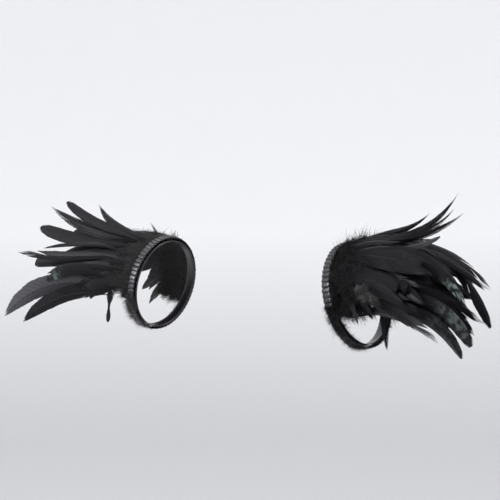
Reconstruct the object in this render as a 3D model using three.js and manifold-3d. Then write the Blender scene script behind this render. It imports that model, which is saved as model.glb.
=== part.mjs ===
// A feather shoulder cape in two halves: a ruff of dyed black plumes round each armhole.
// Each ruff is a gathered satin binding, a hollow wall of matted down sewn into it, and rows of
// plumes rooted on that wall, the long ones furthest from the binding and the fluff nearest to it.
// The wearer faces -Y with the left arm at +X. The origin is midway between the two shoulder tops.
import * as THREE from "three";
import Module from "manifold-3d";

const wasm = await Module();
wasm.setup();

// Sizes are in millimetres and angles in degrees.
const HALF_SHOULDER = 172; // wearer's midline to the centre of an armhole
const ARMHOLE_DROP = 62; // shoulder top down to the centre of an armhole
const ARMHOLE_HALF_HEIGHT = 61;
const ARMHOLE_HALF_DEPTH = 53;
const ARMHOLE_TILT = 13; // the top of each armhole leans towards the neck

const BINDING_WIDTH = 13;
const PLY = 1.2; // thickness of one ply of the satin binding
const BACK_PLY_PROUD = 2; // the ply against the body shows as a dark edge beside the gathers
const FACE_PLY_HEIGHT = 5.7; // underside of the outer ply above the inside of the binding
const GATHERS = 64; // on each binding
const GATHER_DEPTH = 0.6;

const WALL_START = 1.5; // the down wall's sewn edge, inside the binding
const WALL_END = 92;
const WALL_UNDERSIDE = 1.8;
const WALL_TOP = 4.3; // outer face of the down wall where it leaves the binding
const WALL_SWELL = 3.4; // how much thicker the down is halfway along
const WALL_HALF_SWEEP = 120; // the wall is open below, where the arm hangs
const ANGLE_STEP = 8; // the wall and the backing strips bend in steps of this angle
const FLARE_TOP = 1;
const FLARE_SIDE = 12;
const DROOP = 0.002; // how fast the ruff bends down along its length, per millimetre

const SEAT = 1.5; // middle of a backing strip above the down wall
const STRIP_HALF_THICKNESS = 0.6;
const STRIP_HALF_WIDTH = 2;
const LAYER_STEP = 2; // each row of plumes lies this much above the row below it
const ROOT_STEP = 6; // and is rooted this much nearer to the binding
const ROOT_SPREAD = 5; // least angle between the quills of one row
const SAG_POWER = 2.4; // a plume droops mostly towards its tip
const CURL_POWER = 3.2; // and one that curls up does so nearer its tip
const VANE_HALF_THICKNESS = 0.5;
const QUILL_HALF_WIDTH = 1.3;
const CLEARANCE = 0.45; // least gap between a plume and anything it is not sewn to
const LIFT_STEP = 1.5; // a plume that would touch is raised in steps of this height
const LIFT_SHARE = 0.12; // but no higher than this share of its length
const SIDESTEPS = [0, 3, -3, 6, -6]; // and is tried at each height a little way round either side

// How wide a plume is along its length, as a share of its widest place.
const SHAPES = {
  pointed: [
    { at: 0.14, wide: 0.45 },
    { at: 0.4, wide: 0.9 },
    { at: 0.66, wide: 1 },
    { at: 0.86, wide: 0.62 },
    { at: 1, wide: 0 },
  ],
  rounded: [
    { at: 0.16, wide: 0.4 },
    { at: 0.4, wide: 0.85 },
    { at: 0.72, wide: 1 },
    { at: 0.92, wide: 0.8 },
    { at: 1, wide: 0.3 },
  ],
  clipped: [
    { at: 0.16, wide: 0.45 },
    { at: 0.5, wide: 0.9 },
    { at: 0.85, wide: 1 },
    { at: 1, wide: 0.9 },
  ],
  spike: [
    { at: 0.15, wide: 0.7 },
    { at: 0.45, wide: 1 },
    { at: 0.78, wide: 0.62 },
    { at: 1, wide: 0 },
  ],
  spoon: [
    { at: 0.25, wide: 1 },
    { at: 0.5, wide: 0.9 },
    { at: 0.7, wide: 0.32 },
    { at: 0.87, wide: 0.7 },
    { at: 1, wide: 0 },
  ],
  lock: [
    { at: 0.35, wide: 1 },
    { at: 0.75, wide: 0.7 },
    { at: 1, wide: 0 },
  ],
};

// The rows from the inside out. Layer counts rows from the down wall. Reach is how far out a tip
// lies at the top of the shoulder, turn how much further at the front than at the top, lift how far
// a tip stands off the down and sag how far it droops.
const ROWS = [
  {
    name: "long_plumes_under",
    layer: 0,
    sweep: 112,
    count: 13,
    shape: "pointed",
    wide: 17,
    reach: 158,
    turn: 20,
    lift: 2,
    sag: 26,
  },
  {
    name: "long_plumes_middle",
    layer: 1,
    sweep: 109,
    count: 12,
    shape: "pointed",
    wide: 18,
    reach: 164,
    turn: 22,
    lift: 10,
    sag: 22,
  },
  {
    name: "long_plumes_over",
    layer: 2,
    sweep: 106,
    count: 11,
    shape: "pointed",
    wide: 17,
    reach: 150,
    turn: 20,
    lift: 16,
    sag: 16,
  },
  {
    name: "broad_plumes",
    layer: 3,
    sweep: 106,
    count: 9,
    shape: "rounded",
    wide: 24,
    reach: 122,
    turn: 12,
    lift: 12,
    sag: 8,
  },
  {
    name: "crest_plumes",
    layer: 4,
    sweep: 84,
    count: 8,
    shape: "spike",
    wide: 11,
    reach: 112,
    turn: 10,
    lift: 20,
    sag: 0,
  },
  {
    name: "fluff_locks",
    layer: 5,
    sweep: 110,
    count: 19,
    shape: "lock",
    wide: 10,
    reach: 56,
    turn: 4,
    lift: 13,
    sag: 0,
  },
];
const TOP_LAYER = 5;
const FIRST_ROOT = BINDING_WIDTH + 3; // where the outermost row is rooted
const LENGTH_SPREAD = 0.14; // plumes of one row differ this much in length
const ANGLE_SPREAD = 3;
const SAG_SPREAD = 10;
const ROLL_SPREAD = 14;
const LOW_SHORTENING = 110; // how much shorter a plume would be if it pointed straight down

// Plumes that stand out in the photographed garment, by where the tip is from the wearer's midline
// and shoulder top, how far it droops or, below zero, curls up, and how far its face rolls forward.
const LEFT_PLUMES = [
  { row: "crest_plumes", shape: "spike", wide: 13, out: 348, front: 30, up: 65, sag: -75, roll: 55 },
  { row: "crest_plumes", shape: "spike", wide: 9, out: 334, front: 0, up: 44, sag: -60, roll: 50 },
  { row: "crest_plumes", shape: "spike", wide: 9, out: 317, front: 48, up: 43, sag: -55, roll: 45 },
  { row: "crest_plumes", shape: "spike", wide: 9, out: 289, front: -20, up: 17, sag: -25, roll: 40 },
  { row: "fluff_locks", shape: "spike", wide: 11, out: 262, front: 66, up: -121, sag: 20, roll: -20 },
  { row: "broad_plumes", shape: "rounded", wide: 30, out: 324, front: 70, up: -12, sag: 6 },
  { row: "broad_plumes", shape: "rounded", wide: 27, out: 310, front: 84, up: -47, sag: 4 },
  { row: "long_plumes_over", shape: "pointed", wide: 18, out: 366, front: -8, up: -42, sag: 24, roll: 25 },
  { row: "long_plumes_over", shape: "pointed", wide: 15, out: 366, front: 20, up: -70, sag: 36, roll: 25 },
  { row: "long_plumes_middle", shape: "pointed", wide: 15, out: 368, front: -22, up: -88, sag: 70, roll: 30 },
  { row: "long_plumes_middle", shape: "pointed", wide: 17, out: 374, front: 30, up: -84, sag: 30 },
  { row: "long_plumes_over", shape: "rounded", wide: 20, out: 372, front: 60, up: -105, sag: 20 },
  { row: "long_plumes_under", shape: "rounded", wide: 18, out: 366, front: 52, up: -120, sag: 22 },
  { row: "long_plumes_under", shape: "pointed", wide: 18, out: 340, front: 62, up: -107, sag: 14 },
];
const RIGHT_PLUMES = [
  { row: "crest_plumes", shape: "spike", wide: 13, out: 262, front: 44, up: 51, sag: -40, roll: 20 },
  { row: "crest_plumes", shape: "rounded", wide: 13, out: 306, front: 66, up: 52, sag: -50, roll: 15 },
  { row: "crest_plumes", shape: "spike", wide: 15, out: 345, front: 66, up: 47, sag: -60, roll: 20 },
  { row: "fluff_locks", shape: "spoon", wide: 12, out: 212, front: 74, up: -114, sag: 16 },
  { row: "broad_plumes", shape: "rounded", wide: 24, out: 351, front: 80, up: 17, sag: -20 },
  { row: "broad_plumes", shape: "clipped", wide: 20, out: 308, front: 50, up: 9, sag: -5 },
  { row: "long_plumes_over", shape: "pointed", wide: 16, out: 362, front: 104, up: -20, sag: -6 },
  { row: "long_plumes_over", shape: "pointed", wide: 13, out: 345, front: 82, up: -14, sag: -4 },
  { row: "long_plumes_middle", shape: "pointed", wide: 17, out: 340, front: 104, up: -36, sag: 0 },
  { row: "long_plumes_middle", shape: "pointed", wide: 24, out: 378, front: 124, up: -112, sag: 16 },
  { row: "long_plumes_under", shape: "pointed", wide: 20, out: 344, front: 118, up: -121, sag: 20 },
];

// The short fluff under the arm, sewn into the binding below the down wall.
const UNDERARM_FROM = 128;
const UNDERARM_LOCKS = 10;
const UNDERARM_LENGTH = 24;
const UNDERARM_DROOP = 12;
const UNDERARM_ROOT = 8;

const radians = THREE.MathUtils.degToRad;
const lerp = THREE.MathUtils.lerp;
const TILT = radians(ARMHOLE_TILT);
const LEFT = 1;
const RIGHT = -1;

// A repeatable number from -1 to 1 for plume i of a row.
function vary(i, salt) {
  const wave = Math.sin(i * 12.9898 + salt * 78.233) * 437.585;
  return 2 * (wave - Math.floor(wave)) - 1;
}

// How far a ruff has bent down at a distance along its axis.
function droop(along) {
  const bent = Math.min(along, WALL_END);
  return DROOP * bent * bent + 2 * DROOP * WALL_END * (along - bent);
}

// A place on a ruff: along its axis, round the armhole from the top towards the front, and above
// the inside of the binding. The result's x is out from the midline, y forward and z up.
function ringPoint(along, angle, height) {
  const rise = (ARMHOLE_HALF_HEIGHT + height) * Math.cos(angle);
  return new THREE.Vector3(
    HALF_SHOULDER + along * Math.cos(TILT) - rise * Math.sin(TILT),
    (ARMHOLE_HALF_DEPTH + height) * Math.sin(angle),
    -ARMHOLE_DROP + along * Math.sin(TILT) + rise * Math.cos(TILT) - droop(along),
  );
}

// The place along, round and above for a point given by out, front and up.
function ringPlace(out, front, up) {
  const outward = out - HALF_SHOULDER;
  let along = outward;
  for (let round = 0; round < 8; round++) {
    along = outward * Math.cos(TILT) + (up + ARMHOLE_DROP + droop(along)) * Math.sin(TILT);
  }
  const rise = (up + ARMHOLE_DROP + droop(along)) * Math.cos(TILT) - outward * Math.sin(TILT);
  let low = -0.9 * ARMHOLE_HALF_DEPTH;
  let high = WALL_END * 4;
  for (let halving = 0; halving < 40; halving++) {
    const height = (low + high) / 2;
    const forward = front / (ARMHOLE_HALF_DEPTH + height);
    const upward = rise / (ARMHOLE_HALF_HEIGHT + height);
    if (forward ** 2 + upward ** 2 > 1) low = height;
    else high = height;
  }
  const angle = Math.atan2(front / (ARMHOLE_HALF_DEPTH + low), rise / (ARMHOLE_HALF_HEIGHT + low));
  return { along, angle, height: low };
}

// The outer face of the down wall, carried on past its end for the plumes.
function wallTop(along, angle) {
  const flare = radians(FLARE_TOP + (FLARE_SIDE - FLARE_TOP) * Math.sin(angle) ** 2);
  return WALL_TOP + Math.max(0, along - BINDING_WIDTH) * Math.tan(flare);
}

// A solid from closed rings of points in out, front and up, lofted from the first to the last. Each
// end face is a ladder across the ring. With closed set, the last ring joins the first instead.
function loft(rings, side, closed) {
  const size = rings[0].length;
  const vertProperties = new Float32Array(
    rings.flat().flatMap((point) => [side * point.x, -point.y, point.z]),
  );
  const triangles = [];
  const spans = closed ? rings.length : rings.length - 1;
  for (let span = 0; span < spans; span++) {
    const here = span * size;
    const next = ((span + 1) % rings.length) * size;
    for (let i = 0; i < size; i++) {
      const j = (i + 1) % size;
      triangles.push(here + i, next + i, next + j, here + i, next + j, here + j);
    }
  }
  if (!closed) {
    const last = (rings.length - 1) * size;
    for (let i = 0, j = size - 1; i + 1 < j; i++, j--) {
      triangles.push(i, i + 1, j, last + i, last + j, last + i + 1);
      if (i + 1 < j - 1) triangles.push(i + 1, j - 1, j, last + i + 1, last + j, last + j - 1);
    }
  }
  return solidOf(vertProperties, triangles);
}

// A manifold solid from points and triangles, turned right side out.
function solidOf(vertProperties, triangles) {
  const make = (triVerts) => {
    const mesh = new wasm.Mesh({ numProp: 3, vertProperties, triVerts });
    mesh.merge();
    return new wasm.Manifold(mesh);
  };
  const made = make(new Uint32Array(triangles));
  return made.volume() > 0 ? made : make(new Uint32Array(triangles.reverse()));
}

// One ring of a wall: its cross-section at an angle, from pairs of along and height.
function ringSection(angle, outline) {
  return outline.map(({ along, height }) => ringPoint(along, angle, height));
}

function bandOutline(from, to, underside, thickness) {
  return [
    { along: from, height: underside },
    { along: to, height: underside },
    { along: to, height: underside + thickness },
    { along: from, height: underside + thickness },
  ];
}

// The outer ply of the binding, gathered into ribs that run across it.
function bindingFace(side) {
  const rings = [];
  for (let i = 0; i < 2 * GATHERS; i++) {
    const wave = (i % 2 ? 1 : -1) * GATHER_DEPTH * (1 + 0.3 * vary(i, 1));
    const outline = bandOutline(0, BINDING_WIDTH, FACE_PLY_HEIGHT + wave, PLY);
    rings.push(ringSection((Math.PI * i) / GATHERS, outline));
  }
  return loft(rings, side, true);
}

function bindingBack(side) {
  const steps = 360 / ANGLE_STEP;
  const rings = [];
  for (let i = 0; i < steps; i++) {
    rings.push(ringSection((2 * Math.PI * i) / steps, bandOutline(-BACK_PLY_PROUD, BINDING_WIDTH, 0, PLY)));
  }
  return loft(rings, side, true);
}

// The hollow wall of matted down that carries the rows, open towards the ground.
function downWall(side) {
  const stations = [WALL_START, BINDING_WIDTH, 34, 62, 82, WALL_END];
  const rings = [];
  for (let degrees = -WALL_HALF_SWEEP; degrees <= WALL_HALF_SWEEP; degrees += ANGLE_STEP) {
    const angle = radians(degrees);
    const top = stations.map((along) => ({ along, height: wallTop(along, angle) }));
    const under = stations.map((along) => {
      const share = Math.max(0, along - BINDING_WIDTH) / (WALL_END - BINDING_WIDTH);
      const thickness = WALL_TOP - WALL_UNDERSIDE + WALL_SWELL * Math.sin(Math.PI * share);
      return { along, height: wallTop(along, angle) - thickness };
    });
    rings.push(ringSection(angle, [...top, ...under.reverse()]));
  }
  return loft(rings, side, false);
}

function rootOf(row) {
  return FIRST_ROOT + ROOT_STEP * (TOP_LAYER - row.layer);
}

// The middle line of a plume, as a function of the share of its length. Raised is how much higher
// than its row it is held to clear what lies beneath. A named plume comes back down to its tip.
function plumeLine(row, plume, raised) {
  const root = rootOf(row);
  const level = LAYER_STEP * row.layer;
  const climb = LAYER_STEP / ROOT_STEP;
  const endLift = plume.height - wallTop(plume.along, plume.angle) - SEAT - level;
  return (t) => {
    const along = lerp(root, plume.along, t);
    const angle = lerp(plume.from, plume.angle, t * t);
    const arch = raised * (plume.out ? Math.sin(Math.PI * t ** 0.6) : Math.min(1, t / 0.3));
    const lift = SEAT + Math.min(level, Math.abs(along - root) * climb) + endLift * t + arch;
    const point = ringPoint(along, angle, wallTop(along, angle) + lift);
    point.z -= plume.sag * t ** (plume.sag < 0 ? CURL_POWER : SAG_POWER);
    return point;
  };
}

// Half the width of a plume at a share of its length.
function halfWidth(plume, stations, t) {
  const next = Math.max(1, stations.findIndex((station) => station.at >= t));
  const before = stations[next - 1];
  const share = (t - before.at) / (stations[next].at - before.at);
  return Math.max(QUILL_HALF_WIDTH, (plume.wide / 2) * lerp(before.wide, stations[next].wide, share));
}

// A plume as a flat blade of four sides along its middle line.
function plumeSolid(row, plume, raised, side) {
  const line = plumeLine(row, plume, raised);
  const stations = [{ at: 0, wide: 0 }, ...SHAPES[plume.shape]];
  const shares = stations.map((station) => station.at);
  const climbed = (ROOT_STEP * row.layer) / Math.max(1, plume.along - rootOf(row));
  if (climbed > 0 && climbed < shares[1] * 0.8) shares.splice(1, 0, climbed);
  const sharp = plume.shape !== "clipped" && plume.shape !== "rounded";
  const rings = shares.map((t) => {
    const middle = line(t);
    const step = 0.01;
    const ahead = line(Math.min(1, t + step)).sub(line(Math.max(0, t - step))).normalize();
    const angle = lerp(plume.from, plume.angle, t * t);
    const across = new THREE.Vector3(0, Math.cos(angle), -Math.sin(angle));
    const upright = across.clone().cross(ahead).normalize();
    across.copy(ahead).cross(upright).normalize();
    const roll = radians(plume.roll || 0) * Math.min(1, 1.6 * t);
    across.applyAxisAngle(ahead, -roll);
    upright.applyAxisAngle(ahead, -roll);
    const half = t === 1 && sharp ? 0.4 : halfWidth(plume, stations, t);
    return [
      middle.clone().addScaledVector(across, half),
      middle.clone().addScaledVector(upright, VANE_HALF_THICKNESS),
      middle.clone().addScaledVector(across, -half),
      middle.clone().addScaledVector(upright, -VANE_HALF_THICKNESS),
    ];
  });
  return loft(rings, side, false);
}

// The narrow strip that a row's quills are sewn to, bent in the same steps as the down wall.
function backingStrip(root, fromAngle, toAngle, heightAt, side) {
  const rings = [];
  for (let degrees = fromAngle; degrees <= toAngle; degrees += ANGLE_STEP) {
    const angle = radians(degrees);
    const corners = [
      [-STRIP_HALF_WIDTH, -STRIP_HALF_THICKNESS],
      [STRIP_HALF_WIDTH, -STRIP_HALF_THICKNESS],
      [STRIP_HALF_WIDTH, STRIP_HALF_THICKNESS],
      [-STRIP_HALF_WIDTH, STRIP_HALF_THICKNESS],
    ];
    const outline = corners.map(([along, height]) => ({
      along: root + along,
      height: heightAt(root + along, angle) + height,
    }));
    rings.push(ringSection(angle, outline));
  }
  return loft(rings, side, false);
}

// The plumes named above that belong to a row, their quills set a little way apart.
function namedPlumes(row, plumes) {
  const limit = radians(row.sweep);
  const named = plumes
    .filter((plume) => plume.row === row.name)
    .map((plume) => {
      const end = ringPlace(plume.out, plume.front, plume.up + plume.sag);
      const from = Math.max(-limit, Math.min(limit, end.angle));
      return { ...plume, ...end, from };
    });
  named.sort((one, other) => other.from - one.from);
  for (let i = 1; i < named.length; i++) {
    named[i].from = Math.min(named[i].from, named[i - 1].from - radians(ROOT_SPREAD));
  }
  return named;
}

// Plumes that fill a row evenly.
function fillingPlumes(row, salt) {
  const spacing = (2 * row.sweep) / row.count;
  const plumes = [];
  for (let i = 0; i < row.count; i++) {
    const degrees = -row.sweep + spacing * (i + 0.5) + ANGLE_SPREAD * vary(i, salt);
    const angle = radians(degrees);
    const lowness = Math.max(0, -Math.cos(angle));
    const reach = row.reach + row.turn * Math.sin(angle) - LOW_SHORTENING * lowness;
    const along = reach * (1 + LENGTH_SPREAD * vary(i, salt + 1));
    const sag = row.sag > SAG_SPREAD ? row.sag + SAG_SPREAD * vary(i, salt + 2) : row.sag;
    const height = wallTop(along, angle) + row.lift;
    const roll = ROLL_SPREAD * vary(i, salt + 3);
    plumes.push({ ...row, along, angle, from: angle, height, sag, roll });
  }
  return plumes;
}

function boxesMeet(one, other) {
  return [0, 1, 2].every(
    (axis) => one.min[axis] < other.max[axis] + CLEARANCE && other.min[axis] < one.max[axis] + CLEARANCE,
  );
}

// Whether a solid stands clear of everything placed so far.
function standsClear(solid, placed) {
  const box = solid.boundingBox();
  return placed.every(
    (other) => !boxesMeet(box, other.box) || other.solid.minGap(solid, CLEARANCE) >= CLEARANCE,
  );
}

// A plume moved round and raised in steps until it clears everything but its own strip.
function settledPlume(row, plume, side, placed) {
  const limit = radians(row.sweep);
  const highest = LIFT_SHARE * (plume.along - rootOf(row));
  for (let raised = 0; raised <= highest; raised += LIFT_STEP) {
    for (const sidestep of SIDESTEPS) {
      const from = Math.max(-limit, Math.min(limit, plume.from + radians(sidestep)));
      const angle = plume.out ? plume.angle : plume.angle + radians(sidestep);
      const solid = plumeSolid(row, { ...plume, from, angle }, raised, side);
      if (standsClear(solid, placed)) return solid;
    }
  }
  return null;
}

// All the rows of one ruff, as a map from name to solid. The strips and the named plumes are placed
// first, then the others in whatever room is left.
function plumeRows(plumes, side, around) {
  const place = (solid, row) => ({ solid, box: solid.boundingBox(), row });
  const placed = around.map((solid) => place(solid, null));
  const strips = new Map();
  const seat = (along, angle) => wallTop(along, angle) + SEAT;
  for (const row of ROWS) {
    const sweep = ANGLE_STEP * Math.ceil((row.sweep + 1) / ANGLE_STEP);
    const strip = place(backingStrip(rootOf(row), -sweep, sweep, seat, side), row);
    strips.set(row, strip);
    placed.push(strip);
  }
  const fill = (row, wanted) => {
    for (const plume of wanted) {
      const others = placed.filter((other) => other !== strips.get(row));
      const settled = settledPlume(row, plume, side, others);
      if (settled) placed.push(place(settled, row));
    }
  };
  for (const row of ROWS) fill(row, namedPlumes(row, plumes));
  for (const row of ROWS) fill(row, fillingPlumes(row, row.layer * 7 + side));
  const rows = new Map();
  for (const row of ROWS) {
    const pieces = placed.filter((piece) => piece.row === row).map((piece) => piece.solid);
    rows.set(row, wasm.Manifold.union(pieces));
  }
  return rows;
}

// Short locks that hang under the arm from a strip inside the binding.
function underarmLocks(side) {
  const seat = (WALL_UNDERSIDE + WALL_TOP) / 2;
  let solid = backingStrip(UNDERARM_ROOT, UNDERARM_FROM, 360 - UNDERARM_FROM, () => seat, side);
  for (let i = 0; i < UNDERARM_LOCKS; i++) {
    const angle = radians(lerp(UNDERARM_FROM + 4, 356 - UNDERARM_FROM, i / (UNDERARM_LOCKS - 1)));
    const length = UNDERARM_LENGTH * (1 + 0.25 * vary(i, side + 5));
    const rings = [0, 0.3, 0.7, 1].map((t) => {
      const along = UNDERARM_ROOT + length * t;
      const past = Math.max(0, along - BINDING_WIDTH) / length;
      const height = seat + UNDERARM_DROOP * past * (1 + past);
      const half = t === 1 ? 0.4 : 1 + 3.6 * Math.sin(Math.PI * t);
      const turn = half / ARMHOLE_HALF_HEIGHT;
      return [
        ringPoint(along, angle - turn, height),
        ringPoint(along, angle, height + 0.9),
        ringPoint(along, angle + turn, height),
      ];
    });
    solid = solid.add(loft(rings, side, false));
  }
  return solid;
}

const MATERIALS = {
  satin: new THREE.MeshStandardMaterial({ color: 0x24232a, roughness: 0.4, metalness: 0 }),
  down: new THREE.MeshStandardMaterial({ color: 0x0c0c0d, roughness: 0.95, metalness: 0 }),
  plume: new THREE.MeshStandardMaterial({ color: 0x131316, roughness: 0.55, metalness: 0 }),
};

// A named mesh from a manifold solid.
function meshOf(name, solid, material) {
  const { numProp, vertProperties, triVerts } = solid.getMesh();
  const points = new Float32Array((vertProperties.length / numProp) * 3);
  for (let i = 0; i < points.length / 3; i++) {
    points.set(vertProperties.subarray(i * numProp, i * numProp + 3), i * 3);
  }
  const geometry = new THREE.BufferGeometry();
  geometry.setAttribute("position", new THREE.BufferAttribute(points, 3));
  geometry.setIndex(new THREE.BufferAttribute(triVerts, 1));
  geometry.computeVertexNormals();
  const mesh = new THREE.Mesh(geometry, material);
  mesh.name = name;
  return mesh;
}

function ruff(label, side, plumes) {
  const group = new THREE.Group();
  group.name = label + "_ruff";
  const add = (name, solid, material) => group.add(meshOf(label + "_" + name, solid, material));
  add("binding_back", bindingBack(side), MATERIALS.satin);
  const face = bindingFace(side);
  const wall = downWall(side);
  add("binding_face", face, MATERIALS.satin);
  add("down", wall, MATERIALS.down);
  for (const [row, solid] of plumeRows(plumes, side, [face, wall])) {
    add(row.name, solid, row.shape === "lock" ? MATERIALS.down : MATERIALS.plume);
  }
  add("underarm_locks", underarmLocks(side), MATERIALS.down);
  return group;
}

const cape = new THREE.Group();
cape.name = "feather_shoulder_cape";
cape.add(ruff("left", LEFT, LEFT_PLUMES), ruff("right", RIGHT, RIGHT_PLUMES));

export default cape;
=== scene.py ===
import math
from contextlib import contextmanager

import bpy
import numpy as np
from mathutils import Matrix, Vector


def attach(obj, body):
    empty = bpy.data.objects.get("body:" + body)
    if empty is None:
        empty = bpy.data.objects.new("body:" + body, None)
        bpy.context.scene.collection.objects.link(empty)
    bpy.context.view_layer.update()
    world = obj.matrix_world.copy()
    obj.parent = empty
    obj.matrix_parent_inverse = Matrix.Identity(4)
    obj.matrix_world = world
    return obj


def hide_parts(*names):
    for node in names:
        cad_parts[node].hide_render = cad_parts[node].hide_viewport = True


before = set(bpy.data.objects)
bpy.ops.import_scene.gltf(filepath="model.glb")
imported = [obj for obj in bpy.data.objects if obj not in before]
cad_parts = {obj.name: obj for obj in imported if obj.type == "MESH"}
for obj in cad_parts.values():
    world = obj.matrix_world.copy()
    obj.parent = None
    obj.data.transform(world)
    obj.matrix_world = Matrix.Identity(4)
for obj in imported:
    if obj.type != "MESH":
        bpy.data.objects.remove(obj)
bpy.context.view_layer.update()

# A feather shoulder cape in two halves, a ruff of dyed black plumes round each armhole.
#
# Lengths are in millimetres until a mesh is made, and angles are written in degrees. A place on a
# ruff is either out from the wearer's midline, forward and up, or else along the ruff from its
# binding, an angle round the armhole from the top toward the front, and a height off the armhole's
# edge. Side 1 is the wearer's left half and side -1 the right half.
MM = 0.001
SIDES = {"left": 1, "right": -1}

# The camera stands where the photograph was taken from, level with the top of the garment.
CAMERA_AZIMUTH = 43.0
CAMERA_DISTANCE = 1860
CAMERA_HEIGHT = 71
CAMERA_TURN = 0.14
CAMERA_PITCH = 2.47
LENS = 100.2
SENSOR_WIDTH = 36
CLIP_END = 100

# The studio, in metres: pale all round, two soft lamps, and a floor that curves up into a wall. The
# floor's colour is painted darker low down and lighter toward the top: painted shade.
WORLD_TONE = (0.985, 0.985, 1.0, 1)
WORLD_STRENGTH = 0.98
LAMPS = {
    "window_side": dict(place=(-1.6, -2.3, 1.9), size=1.5, power=70, tone=(1.0, 0.99, 0.98)),
    "overhead": dict(place=(0.9, 0.6, 2.8), size=1.8, power=26, tone=(0.98, 0.99, 1.0)),
}
FLOOR_LEVEL = -1.35
FLOOR_RADIUS = 6
FLOOR_CORNERS = 96
CURVE_RADIUS = 3
CURVE_STEPS = 8
BACKDROP_RISE = 3
FLOOR_PAINTED_SHADE_TONE = (0.645, 0.65, 0.665, 1)
FLOOR_HIGH_TONE = (0.985, 0.99, 1.0, 1)
FLOOR_PAINTED_SHADE_TOP = 1.1

# The armhole that a ruff goes round, and how far the ruff leans up.
HALF_SHOULDER = 172
ARMHOLE_DROP = 62
ARMHOLE_HALF_HEIGHT = 61
ARMHOLE_HALF_DEPTH = 53
TILT = math.radians(13)

# The binding: a flat ply that shows a little, and a gathered ply over it. The ribbon's half size is
# in metres, for the weave.
BINDING_WIDTH = 13
PLY = 1.2
BACK_PLY_PROUD = 2
FACE_PLY_UNDERSIDE = 5.1
FACE_THICKNESS = 0.5
BACK_THICKNESS = 1.0
GATHERS = 64
PLEAT_DEPTH = 0.85
RIBBON_HALF_SIZE = (0.19, 0.0065)

# The arch of down. Over the top of the shoulder it lies lower and its tufts are shorter. Those near
# the binding stand up a little.
WALL_START = 1.5
WALL_END = 92
WALL_TOP = 4.3
WALL_HALF_SWEEP = 120
FRONT_SWEEP = {1: 113, -1: 101}
FLARE_TOP = 1
FLARE_SIDE = 12
DROOP = 0.002
CREST_LOWER = {1: 2.6, -1: 0.0}
CREST_SHORTER = {1: 0.45, -1: 0.5}
ARCH_GRID = (96, 28)
ARCH_THICKNESS = 2
ARCH_SUNK = 0.8
ARCH_TONE = 0.15
STAND_UP = 0.2

# How the rows sit on the down and how far their plumes differ from one another.
SEAT = 1.5
LAYER_STEP = 2
ROOT_STEP = 6
TOP_LAYER = 5
CREST_LAYER = 4
FIRST_ROOT = BINDING_WIDTH + 3
ROOT_SPREAD = 5
SAG_POWER = 2.4
CURL_POWER = 3.2
LENGTH_SPREAD = 0.14
ANGLE_SPREAD = 3
SAG_SPREAD = 10
ROLL_SPREAD = 14
LOW_SHORTENING = 110

# Each half lies flatter over the shoulder: how much of a row's step is lost there at a plume's
# foot, and how far its end comes down.
FLAT_TOP = {1: 1.0, -1: 0.9}
TOP_LOWERING = {1: 5, -1: 9}

# Low on the front plumes are shorter: where that begins, how much they lose, and over what turn.
LOW_FRONT = {1: (84, 0.55), -1: (85, 0.5)}
LOW_FRONT_RUN = 12

# Where no filling plume goes: past an angle, on the right half's top and beside the broad ones.
LAST_FILLING = 98
CREST_COSINE = 0.85
BROAD_CLEARANCE = 17

# The rows of plumes from the inside out, as in the part's source.
ROW_COLUMNS = ("name", "layer", "sweep", "count", "shape", "wide", "reach", "turn", "lift", "sag")
ROWS = [
    dict(zip(ROW_COLUMNS, row))
    for row in (
        ("long_plumes_under", 0, 112, 13, "pointed", 17, 158, 20, 2, 26),
        ("long_plumes_middle", 1, 109, 12, "pointed", 18, 164, 22, 10, 22),
        ("long_plumes_over", 2, 106, 11, "pointed", 17, 150, 20, 16, 16),
        ("broad_plumes", 3, 106, 9, "rounded", 24, 122, 12, 12, 8),
        ("crest_plumes", 4, 84, 8, "spike", 11, 112, 10, 20, 0),
        ("fluff_locks", 5, 110, 19, "lock", 10, 56, 4, 13, 0),
    )
]
BROAD_ROW = ROWS[3]

# Painted light: how far the plumes and the down of each half are painted lighter, the right half most.
PAINTED_LIGHT_PLUMES = {1: 0.0, -1: 0.11}
PAINTED_LIGHT_DOWN = {1: 0.0, -1: 0.26}


def swept(shape, wide, tip, sag, roll, bow, **looks):
    """A plume that leaves the ruff with its row. Bow is how far its middle stands off that sweep."""
    return dict(shape=shape, wide=wide, tip=tip, sag=sag, roll=roll, bow=bow, **looks)


def free(shape, wide, tip, top, bow, face, **looks):
    """A plume that hangs or stands by itself from its top or foot, its face turned one way."""
    return dict(shape=shape, wide=wide, tip=tip, top=top, bow=bow, face=face, **looks)


def green_sheen(strength, begins, ends):
    """How strongly a plume's painted green sheen shows, and where along it that begins and ends."""
    return dict(green_sheen=strength, sheen_span=(begins, ends))


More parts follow.
